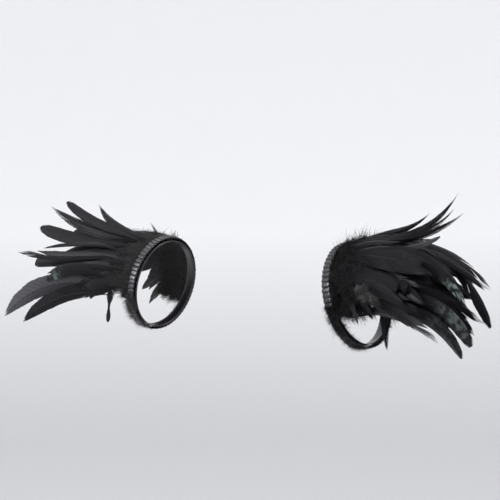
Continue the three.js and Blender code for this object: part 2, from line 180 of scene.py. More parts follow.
# The plumes that stand out on the garment, by row. Pale is how grey one is.
NAMED_PLUMES = {
    "left": {
        "crest_plumes": [
            swept("spike", 12, (348, 30, 65), -52, 80, (-1, -8, -4)),
            swept("spike", 9, (340, 26, 48), -40, 80, (7, 3, -2)),
            swept("spike", 10, (292, 6, 43), -38, 75, (0, 2, 4)),
            swept("spike", 12, (359, 36, 43), -40, 75, (-5, -8, 0)),
            swept("rounded", 7, (336, 48, 17), -25, 40, (-7, -10, -1), pale=0.35),
        ],
        "broad_plumes": [
            swept("rounded", 30, (324, 70, -15), 6, 0, (2, 2, 1)),
            swept("rounded", 27, (316, 84, -41), 4, -8, (-5, -4, -8)),
            swept("pointed", 12, (333, 80, -39), 4, 0, (-1, -4, 2), pale=0.38),
        ],
        "long_plumes_over": [
            swept("pointed", 16, (368, -8, -42), 24, 25, (15, 9, 11)),
            swept("pointed", 15, (368, 4, -44), 24, 25, (11, 4, 8)),
            swept("pointed", 15, (365, 12, -34), 24, 20, (5, 2, 5)),
            swept("pointed", 18, (369, 40, -64), 30, 10, (21, 2, 19), pale=0.04, **green_sheen(1.3, 0.8, 0.92)),
            swept("spike", 8, (376, 34, -58), 24, 10, (14, 6, 14)),
            swept("rounded", 20, (388, 60, -103), 16, 0, (24, 5, 23), pale=0.05, **green_sheen(0.42, 0.66, 0.96)),
        ],
        "long_plumes_middle": [
            swept("rounded", 15, (360, -22, -89), 70, 30, (37, 33, 9)),
            swept("pointed", 19, (384, 30, -80), 10, 10, (16, 19, 13)),
            swept("pointed", 12, (374, 42, -84), 10, 10, (19, 11, 17)),
        ],
        "long_plumes_under": [
            swept("rounded", 22, (369, 52, -119), 16, 0, (25, 11, 21), **green_sheen(0.16, 0.6, 0.97)),
            swept("pointed", 15, (345, 62, -104), 8, 0, (15, 10, 9), pale=0.62),
        ],
        "fluff_locks": [
            free("spike", 11, (279, 70, -117), (271, 66, -58), (-1.5, 0, 0), (0.3, 1, 0)),
            free("spike", 2.2, (280, 60, 4), (208, 52, -8), (0, 0, 4), (0.3, 1, 0.2), pale=1.0),
        ],
    },
    "right": {
        "crest_plumes": [
            swept("spike", 17, (263, 44, 50), -20, 20, (2, 5, -5)),
            swept("rounded", 15, (307, 66, 53), -25, 15, (0, 2, 0)),
            swept("spike", 23, (343, 66, 46), -8, 20, (-2, 8, -10)),
        ],
        "broad_plumes": [
            swept("rounded", 23, (350, 80, 17), -8, 0, (-2, 5, -6)),
            swept("clipped", 17, (309, 50, 12), -5, 0, (-7, 8, -3)),
        ],
        "long_plumes_over": [
            swept("pointed", 8, (341, 84, -14), 0, 0, (-5, 3, 7)),
            swept("pointed", 15, (375, 104, -20), -6, 0, (-4, 5, -3)),
            swept("clipped", 14, (362, 82, -36), -4, 0, (-4, 4, 0)),
        ],
        "long_plumes_middle": [
            swept("pointed", 19, (327, 104, -69), 0, 0, (1, 7, 18), pale=0.11, **green_sheen(0.75, 0.68, 0.84)),
            swept("pointed", 28, (380, 124, -112), 8, 0, (9, 5, 21), pale=0.85, striped=True),
        ],
        "long_plumes_under": [
            swept("pointed", 22, (345, 118, -119), 10, 0, (-2, 10, 12)),
        ],
        "fluff_locks": [
            free("spoon", 12, (216, 70, -115), (215, 66, -68), (0, 0, 0), (-0.3, 1, 0)),
            free("spike", 11, (169, 57, -100), (186, 58.6, -69), (0, 0, 0), (-0.3, 1, 0)),
            free("spike", 8, (194, 8, 25), (179, 6.8, 3), (0, 0, 0), (0.5, 1, 0)),
        ],
    },
}

# Where grey-brown fluff shows among the black.
PALE_FLUFF = {
    1: [(250, 84, -45), (258, 84, -49), (267, 84, -54), (271, 82, -58), (253, 84, -55)],
    -1: [],
}

# Half the width of a plume along its length, as a share of its widest half.
OUTLINES = {
    "pointed": [(0, 0.3), (0.14, 0.5), (0.4, 0.92), (0.66, 1.0), (0.84, 0.74), (0.94, 0.38), (1, 0.03)],
    "rounded": [(0, 0.3), (0.16, 0.5), (0.4, 0.9), (0.72, 1.0), (0.88, 0.92), (0.96, 0.68), (1, 0.3)],
    "clipped": [(0, 0.3), (0.16, 0.45), (0.5, 0.9), (0.85, 1.0), (0.97, 1.0), (1, 0.9)],
    "spike": [(0, 0.35), (0.15, 0.75), (0.4, 1.0), (0.7, 0.72), (0.88, 0.4), (1, 0.02)],
    "spoon": [
        (0, 0.8), (0.12, 1.0), (0.3, 0.78), (0.5, 0.34), (0.6, 0.3), (0.8, 0.6), (0.92, 0.52), (1, 0.15),
    ],
}

# How the barbs of each kind of plume grow. Sweep is how far along the plume a barb leans, splits
# how many times each vane parts, part how far it parts, fray how unevenly the barbs end and loose
# how long the soft barbs near the quill's foot are.
VANES = {
    "pointed": dict(barbs=90, sweep=0.16, splits=2, part=0.02, fray=0.03, loose=0.6, camber=0.22),
    "rounded": dict(barbs=80, sweep=0.14, splits=1, part=0.012, fray=0.015, loose=0.3, camber=0.24),
    "clipped": dict(barbs=64, sweep=0.13, splits=2, part=0.03, fray=0.05, loose=0.3, camber=0.2),
    "spike": dict(barbs=64, sweep=0.2, splits=1, part=0.02, fray=0.03, loose=0.4, camber=0.3),
    "spoon": dict(barbs=56, sweep=0.13, splits=0, part=0.006, fray=0.03, loose=0.3, camber=0.2),
}

# Plumes of one shape take turns between this many blanks, whose barbs part in different places.
VARIANTS = 4

# The barbs of any plume, by shares of its length: where they start, how far the soft ones reach up
# from the foot, where the tip begins, and how much of the space between them barbs fill. Then how
# they gather and curve, and the quill.
FIRST_BARB = 0.02
BARB_RUN = 0.965
SOFT_FOOT = 0.22
TIP_BEGINS = 0.72
TIP_RUN = 0.22
BARB_LENGTHS = 3
BARB_FILL = 0.64
TIP_FILL = 1.5
TIP_SWEEP_LOSS = 0.55
GATHERING = 0.8
BARB_CURVE = 1.15
CAMBER_CURVE = 1.6
QUILL_LENGTHS = 8
QUILL_TAPER = 0.22
QUILL_RUN = 0.97
QUILL_HALF_WIDE = 0.6
QUILL_HALF_DEEP = 0.45

# A plume's line is worked out at even shares of its length, a little past both ends, and its face
# has rolled over well before the tip. Plumes differ a little in width and tone, some have a faint
# painted green sheen, and some quills a painted highlight. The sheen span is where along a plume
# the painted green sheen shows, and stripes run aslant.
LINE_SHARES = np.linspace(-0.02, 1.04, 54)
ROLL_RATE = 1.6
WIDTH_SPREAD = 0.16
TONE_SPREAD = 0.14
STRAY_GREEN_SHEEN = 0.035
QUILL_PAINTED_HIGHLIGHT = 0.35
GREEN_SHEEN_SPAN = (0.55, 0.95)
GREEN_SHEEN_EDGE = 0.1
STRIPES = 120
STRIPE_SLANT = 14
STRIPE_DEPTH = 0.16

# Fluff: barbs in a tuft, kinds of tuft, and half a barb's width as a share of the tuft's length.
TUFT_BARBS = 24
TUFT_VARIANTS = 8
TUFT_BARB_HALF = 0.015
WISP_HALF = 0.42
BARB_TAPER = 0.85

# How fluff grows, by place: how long it is, how far it leans off the surface, and how unevenly it
# is combed.
OUTSIDE = dict(length=(10, 17), lean=(0.05, 0.35), uneven=0.25)
INSIDE = dict(length=(10, 16), lean=(0.05, 0.4), uneven=0.4)
LOWER_EDGES = dict(length=(8, 14), hang=0.9, uneven=0.2)
WISPS = dict(length=(15, 28), lean=(0.1, 1.0), uneven=0.35, bend=0.22)
LOCKS = dict(length=(11, 17), lean=(0.02, 0.3), uneven=0.5)
PALE_TUFTS = dict(length=(8, 13), pale=(0.25, 0.8), apart=2.2)
UNDERARM = dict(length=(9, 14), lean=(0.1, 0.5), uneven=0.3)
OVER_BINDING = dict(length=(9, 14), lean=(0.3, 0.9), uneven=0.4)
WISP_COUNT = {1: 70, -1: 44}


def vary(i, salt):
    """A repeatable number from -1 to 1 for plume i of a row."""
    wave = math.sin(i * 12.9898 + salt * 78.233) * 437.585
    return 2 * (wave - math.floor(wave)) - 1


def unit(rows):
    """The same directions, each made one long."""
    return rows / np.linalg.norm(rows, axis=-1, keepdims=True)


def droop(along):
    bent = np.minimum(along, WALL_END)
    return DROOP * bent * bent + 2 * DROOP * WALL_END * (along - bent)


def ring_point(along, angle, height):
    """A place on a ruff, from arrays or numbers, as out, forward and up."""
    rise = (ARMHOLE_HALF_HEIGHT + height) * np.cos(angle)
    out = HALF_SHOULDER + along * math.cos(TILT) - rise * math.sin(TILT)
    forward = (ARMHOLE_HALF_DEPTH + height) * np.sin(angle)
    up = -ARMHOLE_DROP + along * math.sin(TILT) + rise * math.cos(TILT) - droop(along)
    return np.stack(np.broadcast_arrays(out, forward, up), axis=-1)


def ring_place(out, front, up):
    """The along, angle and height of a place given by out, front and up, closed in on by steps."""
    outward = out - HALF_SHOULDER
    along = outward
    for _ in range(8):
        along = outward * math.cos(TILT) + (up + ARMHOLE_DROP + droop(along)) * math.sin(TILT)
    rise = (up + ARMHOLE_DROP + droop(along)) * math.cos(TILT) - outward * math.sin(TILT)
    low, high = -0.9 * ARMHOLE_HALF_DEPTH, WALL_END * 4
    for _ in range(40):
        height = (low + high) / 2
        forward = front / (ARMHOLE_HALF_DEPTH + height)
        upward = rise / (ARMHOLE_HALF_HEIGHT + height)
        if forward**2 + upward**2 > 1:
            low = height
        else:
            high = height
    angle = math.atan2(front / (ARMHOLE_HALF_DEPTH + low), rise / (ARMHOLE_HALF_HEIGHT + low))
    return float(along), angle, low


def above(angle):
    """How much a place on the ruff faces up, from 1 at the top to 0 at the sides and below."""
    return max(0.0, math.cos(angle))


def wall_top(along, angle):
    """The height of the down's outside."""
    flare = np.radians(FLARE_TOP + (FLARE_SIDE - FLARE_TOP) * np.sin(angle) ** 2)
    return WALL_TOP + np.maximum(0, along - BINDING_WIDTH) * np.tan(flare)


def in_row_frame(points, side):
    """Turns out, forward and up in millimetres into the frame's metres."""
    return points * np.array([side, -1, 1]) * MM


# Modelling steps that several pieces share.


@contextmanager
def edit_mode():
    """Editing of the active mesh, with all of it selected at the start."""
    bpy.ops.object.mode_set(mode="EDIT")
    bpy.ops.mesh.select_all(action="SELECT")
    yield
    bpy.ops.object.mode_set(mode="OBJECT")


def new_grid(columns, rows):
    """A flat grid from -1 to 1 both ways."""
    bpy.ops.object.select_all(action="DESELECT")
    bpy.ops.mesh.primitive_grid_add(x_subdivisions=columns, y_subdivisions=rows, size=2)
    return bpy.context.object


def thicken(piece, thickness, side):
    """Gives a sheet its thickness, inward from the shape it has, and smooth faces turned outward."""
    thick = piece.modifiers.new("thickness", "SOLIDIFY")
    thick.thickness = thickness * MM
    thick.offset = -1 if side < 0 else 1
    bpy.ops.object.modifier_apply(modifier="thickness")
    with edit_mode():
        bpy.ops.mesh.normals_make_consistent(inside=False)
    bpy.ops.object.shade_smooth()


# Camera, lights and floor.


def add_camera():
    data = bpy.data.cameras.new("photo_camera")
    data.lens = LENS
    data.sensor_width = SENSOR_WIDTH
    data.clip_end = CLIP_END
    camera = bpy.data.objects.new("photo_camera", data)
    bpy.context.scene.collection.objects.link(camera)
    azimuth = math.radians(CAMERA_AZIMUTH)
    place = Vector((math.sin(azimuth), -math.cos(azimuth), 0)) * CAMERA_DISTANCE
    camera.location = Vector((place.x, place.y, CAMERA_HEIGHT)) * MM
    turned = azimuth + math.radians(CAMERA_TURN)
    pitch = math.radians(CAMERA_PITCH)
    level = math.cos(pitch)
    ahead = Vector((-math.sin(turned) * level, math.cos(turned) * level, -math.sin(pitch)))
    camera.rotation_mode = "QUATERNION"
    camera.rotation_quaternion = ahead.to_track_quat("-Z", "Y")
    bpy.context.scene.camera = camera


def add_softbox(name, place, size, power, tone):
    """A round soft lamp that faces the garment."""
    data = bpy.data.lights.new(name, "AREA")
    data.shape = "DISK"
    data.size = size
    data.energy = power
    data.color = tone
    lamp = bpy.data.objects.new(name, data)
    bpy.context.scene.collection.objects.link(lamp)
    lamp.location = place
    lamp.rotation_mode = "QUATERNION"
    lamp.rotation_quaternion = (-Vector(place)).to_track_quat("-Z", "Y")


def add_floor():
    """A round floor whose edge is drawn up in a curve and then straight up as a wall."""
    bpy.ops.object.select_all(action="DESELECT")
    bpy.ops.mesh.primitive_circle_add(
        vertices=FLOOR_CORNERS, radius=FLOOR_RADIUS, fill_type="NGON", location=(0, 0, FLOOR_LEVEL)
    )
    floor = bpy.context.object
    floor.name = "studio_floor"
    with edit_mode():
        bpy.ops.mesh.select_mode(type="EDGE")
        bpy.ops.mesh.region_to_loop()
        for step in range(CURVE_STEPS):
            turn = math.radians(90 * (step + 1) / CURVE_STEPS)
            before = math.radians(90 * step / CURVE_STEPS)
            wider = CURVE_RADIUS * (math.sin(turn) - math.sin(before))
            higher = CURVE_RADIUS * (math.cos(before) - math.cos(turn))
            radius = FLOOR_RADIUS + CURVE_RADIUS * math.sin(before)
            bpy.ops.mesh.extrude_edges_move(TRANSFORM_OT_translate={"value": (0, 0, higher)})
            grown = (radius + wider) / radius
            bpy.ops.transform.resize(value=(grown, grown, 1), center_override=(0, 0, 0))
        bpy.ops.mesh.extrude_edges_move(TRANSFORM_OT_translate={"value": (0, 0, BACKDROP_RISE)})
    bpy.ops.object.shade_smooth()
    floor.data.materials.append(floor_finish())


def add_studio():
    world = bpy.data.worlds.new("pale_studio")
    bpy.context.scene.world = world
    world.use_nodes = True
    background = world.node_tree.nodes["Background"]
    background.inputs["Color"].default_value = WORLD_TONE
    background.inputs["Strength"].default_value = WORLD_STRENGTH
    bpy.context.scene.view_settings.view_transform = "Standard"
    for name, lamp in LAMPS.items():
        add_softbox(name, **lamp)
    add_floor()


# Finishes.


def new_finish(name):
    """A new material and its shader node."""
    material = bpy.data.materials.new(name)
    material.use_nodes = True
    return material, material.node_tree.nodes["Principled BSDF"]


def connect(material, node, inputs):
    """Sets a node's inputs, each to a value or to what another node gives out."""
    for name, value in inputs.items():
        if isinstance(value, bpy.types.NodeSocket):
            material.node_tree.links.new(value, node.inputs[name])
        else:
            node.inputs[name].default_value = value


def add_node(material, kind, inputs):
    node = material.node_tree.nodes.new(kind)
    connect(material, node, inputs)
    return node


def attribute(material, name):
    """A number that each point of the mesh carries."""
    node = add_node(material, "ShaderNodeAttribute", {})
    node.attribute_name = name
    return node.outputs["Fac"]


def blend(material, factor, first, second):
    """Two colours mixed by a factor."""
    mix = add_node(material, "ShaderNodeMix", {})
    mix.data_type = "RGBA"
    connect(material, mix, {"Factor": factor, "A": first, "B": second})
    return mix.outputs["Result"]


def multiply(material, first, second):
    product = add_node(material, "ShaderNodeMath", {0: first, 1: second})
    product.operation = "MULTIPLY"
    return product.outputs["Value"]


def in_range(material, inputs):
    return add_node(material, "ShaderNodeMapRange", inputs).outputs["Result"]


def floor_finish():
    material, shader = new_finish("pale_floor")
    place = add_node(material, "ShaderNodeTexCoord", {}).outputs["Object"]
    height = add_node(material, "ShaderNodeSeparateXYZ", {"Vector": place}).outputs["Z"]
    # Painted shade: the floor's colour is darker the lower it is, up to a height where the pale tone is
    # reached.
    rise = in_range(material, {"Value": height, "From Min": 0.0, "From Max": FLOOR_PAINTED_SHADE_TOP})
    paint = blend(material, rise, FLOOR_PAINTED_SHADE_TONE, FLOOR_HIGH_TONE)
    connect(material, shader, {"Base Color": paint, "Roughness": 0.9, "Specular IOR Level": 0.1})
    return material


def plume_finish(name, black, grey, sheen, rough):
    """Dyed plume: barbs that differ a little in tone, with a painted violet sheen and a mottled painted
    green sheen.
    """
    material, shader = new_finish(name)
    tone = attribute(material, "barb_tone")
    place = add_node(material, "ShaderNodeTexCoord", {}).outputs["Object"]
    noise = add_node(material, "ShaderNodeTexNoise", {"Scale": 130, "Detail": 5, "Vector": place})
    patches = noise.outputs["Fac"]

    barbs = blend(material, tone, (*black, 1), (*grey, 1))
    # Painted sheen: a violet cast in noise patches, for the purple sheen of the dyed barbs.
    painted_violet_sheen = blend(material, multiply(material, patches, 0.6), barbs, (0.006, 0.0045, 0.0085, 1))
    mottle = in_range(material, {"Value": patches, "From Min": 0.44, "From Max": 0.62, "To Min": 0.03})
    # Painted sheen: the green that iridescent barbs reflect, put into the colour in mottled patches.
    sheen_strength = multiply(material, attribute(material, "painted_green_sheen"), mottle)
    mottled = blend(material, sheen_strength, painted_violet_sheen, (0.17, 0.215, 0.19, 1))
    # Paleness lightens the colour: grey plumes, painted highlights on quills, and painted light on the
    # right half.
    pale_and_painted_light = blend(material, attribute(material, "paleness"), mottled, (0.13, 0.13, 0.14, 1))
    gloss = in_range(material, {"Value": tone, "To Min": rough - 0.1, "To Max": rough + 0.16})
    connect(material, shader, {
        "Base Color": pale_and_painted_light,
        "Roughness": gloss,
        "Specular IOR Level": 0.07,
        "Sheen Weight": sheen,
        "Sheen Roughness": 0.45,
        "Sheen Tint": (0.8, 0.8, 0.86, 1),
    })
    return material


def down_finish():
    """Matted down, black, or lighter toward a brownish grey: grey-brown fluff, and painted light on the
    right half.
    """
    material, shader = new_finish("black_down")
    tone = attribute(material, "barb_tone")
    colour = blend(material, tone, (0.006, 0.0058, 0.0064, 1), (0.034, 0.0325, 0.035, 1))
    # Paleness lightens the down: grey-brown fluff, and painted light on the right half.
    pale_and_painted_light = blend(material, attribute(material, "paleness"), colour, (0.14, 0.133, 0.128, 1))
    connect(material, shader, {
        "Base Color": pale_and_painted_light,
        "Roughness": 0.8,
        "Specular IOR Level": 0.08,
        "Sheen Weight": 0.02,
        "Sheen Roughness": 0.6,
    })
    return material


def satin_finish():
    """Black satin ribbon with a fine weave across it."""
    material, shader = new_finish("black_satin")
    ribbon_map = add_node(material, "ShaderNodeUVMap", {})
    ribbon_map.uv_map = "ribbon"
    flat = ribbon_map.outputs["UV"]
    weave = add_node(material, "ShaderNodeTexWave", {"Scale": 260, "Distortion": 0.4, "Vector": flat})
    weave.bands_direction = "X"
    slub = add_node(material, "ShaderNodeTexNoise", {"Scale": 90, "Vector": flat}).outputs["Fac"]
    colour = blend(material, slub, (0.006, 0.0055, 0.008, 1), (0.02, 0.018, 0.024, 1))
    raised = {"Strength": 0.25, "Distance": 0.0001, "Height": weave.outputs["Fac"]}
    connect(material, shader, {
        "Base Color": colour,
        "Normal": add_node(material, "ShaderNodeBump", raised).outputs["Normal"],
        "Roughness": 0.27,
        "Specular IOR Level": 0.6,
        "Sheen Weight": 0.08,
        "Sheen Roughness": 0.35,
        "Sheen Tint": (0.85, 0.8, 0.95, 1),
    })
    return material


# Blanks that are modelled once and copied for every barb and quill.


def blank_of(piece):
    """The points and four-cornered faces of a modelled blank, which is then taken away."""
    mesh = piece.data
    points = np.zeros(len(mesh.vertices) * 3)
    mesh.vertices.foreach_get("co", points)
    faces = np.array([list(face.vertices) for face in mesh.polygons])
    bpy.data.objects.remove(piece)
    return points.reshape(-1, 3), faces


def barb_blank():
    """A flat barb along +Y from 0 to 1, from -1 to 1 across."""
    piece = new_grid(1, BARB_LENGTHS)
    with edit_mode():
        bpy.ops.transform.resize(value=(1, 0.5, 1))
        bpy.ops.transform.translate(value=(0, 0.5, 0))
    return blank_of(piece)


def quill_blank():
    """A tapered quill of four sides along +Y from 0 to 1, its thick end at 0."""
    bpy.ops.object.select_all(action="DESELECT")
    bpy.ops.mesh.primitive_cone_add(
        vertices=4, radius1=1, radius2=QUILL_TAPER, depth=1, end_fill_type="NGON"
    )
    piece = bpy.context.object
    with edit_mode():
        bpy.ops.transform.rotate(value=math.radians(90), orient_axis="X", center_override=(0, 0, 0))
        bpy.ops.transform.translate(value=(0, 0.5, 0))
        for cut in range(1, QUILL_LENGTHS):
            bpy.ops.mesh.select_all(action="SELECT")
            bpy.ops.mesh.bisect(plane_co=(0, cut / QUILL_LENGTHS, 0), plane_no=(0, 1, 0))
    return blank_of(piece)


class Plumage:
    """Gathers the points, faces and tones of many barbs and quills into one mesh."""

    def __init__(self):
        self.points = []
        self.faces = []
        self.tones = []
        self.sheen_strengths = []
        self.pales = []
        self.size = 0

    def add(self, points, faces, tones, sheen_strength=0.0, pale=0.0):
        self.points.append(points)
        self.faces.append(faces + self.size)
        self.tones.append(tones)
        self.sheen_strengths.append(np.broadcast_to(sheen_strength, len(points)))
        self.pales.append(np.broadcast_to(pale, len(points)))
        self.size += len(points)

    def mesh(self, name, side, finish):
        points = in_row_frame(np.concatenate(self.points), side)
        faces = np.concatenate(self.faces)
        if side > 0:
            faces = faces[:, ::-1]
        mesh = bpy.data.meshes.new(name)
        mesh.from_pydata(points.tolist(), [], faces.tolist())
        carried = {"barb_tone": self.tones, "painted_green_sheen": self.sheen_strengths, "paleness": self.pales}
        for label, values in carried.items():
            layer = mesh.attributes.new(label, "FLOAT", "POINT")
            layer.data.foreach_set("value", np.concatenate(values).astype(np.float32))
        mesh.materials.append(finish)
        mesh.update()
        piece = bpy.data.objects.new(name, mesh)
        bpy.context.scene.collection.objects.link(piece)
        return piece


BARB_POINTS, BARB_FACES = barb_blank()
BARB_EDGE, BARB_REACH = BARB_POINTS[:, 0], BARB_POINTS[:, 1]
QUILL_POINTS, QUILL_FACES = quill_blank()


def plume_blank(shape, variant):
    """A flat plume of one shape: where each point lies along it, across it and off its face as
    shares of half its width, its own offset in millimetres, its tone, and the faces."""
    vane = VANES[shape]
    draw = np.random.default_rng(1000 * variant + len(shape) * 7 + ord(shape[0]))
    at, wide = zip(*OUTLINES[shape])
    count, sweep = vane["barbs"], vane["sweep"]
    reach, edge = BARB_REACH, BARB_EDGE
    pieces = []
    size = 0
    for hand in (-1, 1):
        splits = int(draw.integers(0, vane["splits"] + 1))
        parts = np.sort(draw.uniform(0.3, 0.9, splits))
        lean = draw.normal(0, vane["part"], splits + 1)
        shade = draw.normal(0, 0.16, splits + 1)
        bounds = np.concatenate([[0.0], parts, [1.0]])
        for barb in range(count):
            start = FIRST_BARB + BARB_RUN * (barb + 0.5) / count
            soft = max(0.0, 1 - start / SOFT_FOOT) * vane["loose"]
            group = int(np.searchsorted(parts, start))
            centre = (bounds[group] + bounds[group + 1]) / 2
            group_run = max(0.1, bounds[group + 1] - bounds[group])
            gather = GATHERING * lean[group] * (centre - start) / group_run
            end = start + sweep * (1 - TIP_SWEEP_LOSS * start**3) + lean[group] + gather
            past = max(0.0, end - 1) / (0.45 * sweep + 0.01)
            half = np.interp(min(end, 1.0), at, wide) * max(0.0, 1 - past)
            length = 1 + vane["fray"] * min(0.6, draw.normal()) + soft * draw.uniform(0.1, 0.9)
            nearing_tip = min(1.0, max(0.0, (start - TIP_BEGINS) / TIP_RUN))
            strip = (BARB_FILL + TIP_FILL * nearing_tip) / count * (1 - 0.4 * soft)
            strip = strip * (1 - (0.12 + 0.5 * soft) * reach**3)
            gone = reach * length
            path = start + (min(end, 1.0) - start) * gone**BARB_CURVE
            wave = soft * draw.normal(0, 0.5)
            twist = edge * hand * 0.035 * draw.uniform(0.3, 1.5)
            tone = 0.3 + shade[group] + 0.13 * draw.normal() + 0.12 * soft
            pieces.append((
                np.minimum(path + edge * strip, 1.01),
                hand * half * gone,
                -vane["camber"] * half * gone**CAMBER_CURVE + wave * reach**2,
                np.stack([np.zeros(len(reach)), twist], axis=-1),
                np.clip(tone + 0.12 * reach, 0, 1),
                BARB_FACES + size,
            ))
            size += len(reach)
    none = np.zeros(len(QUILL_POINTS))
    quill_x, quill_y, quill_z = QUILL_POINTS.T
    pieces.append((
        -0.01 + QUILL_RUN * quill_y,
        none,
        none,
        np.stack([quill_x * QUILL_HALF_WIDE, quill_z * QUILL_HALF_DEEP + 0.1], axis=-1),
        none + 0.9,
        QUILL_FACES + size,
    ))
    return tuple(np.concatenate(column) for column in zip(*pieces))


PLUME_BLANKS = {
    (shape, variant): plume_blank(shape, variant) for shape in VANES for variant in range(VARIANTS)
}


def root_of(row):
    return FIRST_ROOT + ROOT_STEP * (TOP_LAYER - row["layer"])


def salt_of(row):
    return row["layer"] * 7 + row["side"]


def named_plumes(row, label):
    """The plumes of a row that are placed one by one, their quills set a little way apart."""
    limit = math.radians(row["sweep"])
    in_row, by_themselves = [], []
    for plume in NAMED_PLUMES[label][row["name"]]:
        if "top" in plume:
            by_themselves.append(plume)
            continue
        out, front, up = plume["tip"]
        along, angle, height = ring_place(out, front, up + plume["sag"])
        start = max(-limit, min(limit, angle))
        in_row.append({**plume, "along": along, "angle": angle, "height": height, "start": start})
    in_row.sort(key=lambda plume: -plume["start"])
    for before, plume in zip(in_row, in_row[1:]):
        plume["start"] = min(plume["start"], before["start"] - math.radians(ROOT_SPREAD))
    return in_row + by_themselves


def lies_clear(plume, broad):
    """Whether a filling plume leaves in sight the broad named ones, the fluff low on the front and
    the low top of the right half."""
    if plume["angle"] > math.radians(LAST_FILLING):
        return False
    if plume["layer"] != CREST_LAYER:
        return True
    if plume["side"] < 0 and math.cos(plume["angle"]) > CREST_COSINE:
        return False
    clearance = math.radians(BROAD_CLEARANCE)
    return all(abs(other["angle"] - plume["angle"]) > clearance for other in broad)


def filling_plume(row, angle, length, lift, sag, roll, **more):
    """A plume of a row with a share of the row's own length and of its lift off the down."""
    begins, lost = LOW_FRONT[row["side"]]
    low_share = 1 - lost * min(1.0, max(0.0, (math.degrees(angle) - begins) / LOW_FRONT_RUN))
    reach = row["reach"] + row["turn"] * math.sin(angle) - LOW_SHORTENING * max(0, -math.cos(angle))
    share, uneven = length
    along = share * reach * (1 + LENGTH_SPREAD * uneven) * low_share
    top_lift = row["lift"] - TOP_LOWERING[row["side"]] * above(angle)
    height = wall_top(along, angle) + lift * top_lift
    place = dict(along=along, angle=angle, start=angle, height=height)
    return {**row, **place, "sag": sag, "roll": roll, **more}


def filling_plumes(row):
    """The rest of a row: plumes at even steps, then shorter, narrower ones between them."""
    salt = salt_of(row)
    spacing = 2 * row["sweep"] / row["count"]
    plumes = []
    for i in range(row["count"]):
        angle = math.radians(-row["sweep"] + spacing * (i + 0.5) + ANGLE_SPREAD * vary(i, salt))
        sag = row["sag"] + (SAG_SPREAD * vary(i, salt + 2) if row["sag"] > SAG_SPREAD else 0)
        roll = ROLL_SPREAD * vary(i, salt + 3)
        plumes.append(filling_plume(row, angle, (1, vary(i, salt + 1)), 1, sag, roll))
    for i in range(row["count"] - 1):
        angle = math.radians(-row["sweep"] + spacing * (i + 1) + 1.5 * ANGLE_SPREAD * vary(i, salt + 4))
        wide = row["wide"] * (0.72 + 0.12 * vary(i, salt + 6))
        roll = 1.6 * ROLL_SPREAD * vary(i, salt + 7)
        length = (0.84, vary(i, salt + 5))
        plumes.append(filling_plume(row, angle, length, 0.7, 0.8 * row["sag"], roll, wide=wide))
    return plumes


def plume_frame(row, plume):
    """Where a plume's quill runs and how its face is turned, at even shares of its length."""
    share = LINE_SHARES
    steps = np.clip(share, 0, None)
    root = root_of(row)
    level = LAYER_STEP * row["layer"] * (1 - FLAT_TOP[row["side"]] * above(plume["start"]))
    end_lift = plume["height"] - wall_top(plume["along"], plume["angle"]) - SEAT - level
    along = root + (plume["along"] - root) * share
    angle = plume["start"] + (plume["angle"] - plume["start"]) * steps**2
    lift = SEAT + np.minimum(level, np.abs(along - root) * LAYER_STEP / ROOT_STEP) + end_lift * share
    line = ring_point(along, angle, wall_top(along, angle) + lift)
    power = CURL_POWER if plume["sag"] < 0 else SAG_POWER
    line[:, 2] -= plume["sag"] * steps**power
    if "bow" in plume:
        line += 4 * (share * (1 - share) * (share > 0))[:, None] * np.array(plume["bow"])
    ahead = unit(np.gradient(line, axis=0))
    across = np.stack([np.zeros_like(angle), np.cos(angle), -np.sin(angle)], axis=-1)
    outward = unit(np.cross(ahead, across))
    across = np.cross(outward, ahead)
    roll = np.radians(plume["roll"]) * np.minimum(1, steps * ROLL_RATE)[:, None]
    across, outward = (
        across * np.cos(roll) - outward * np.sin(roll),
        outward * np.cos(roll) + across * np.sin(roll),
    )
    return share, line, across, outward


def hanging_frame(plume):
    """The same for a plume that hangs or stands free, from its top or foot to its tip."""
    share = LINE_SHARES
    foot, tip = np.array(plume["top"], float), np.array(plume["tip"], float)
    line = foot + (tip - foot) * share[:, None]
    line += 4 * (share * (1 - share))[:, None] * np.array(plume["bow"])
    ahead = unit(np.gradient(line, axis=0))
    across = unit(np.cross(np.array(plume["face"], float), ahead))
    return share, line, across, np.cross(ahead, across)


def along_line(at, share, rows):
    """Places or directions that are known at some shares of a length, at others."""
    return np.stack([np.interp(at, share, rows[:, k]) for k in range(3)], axis=-1)


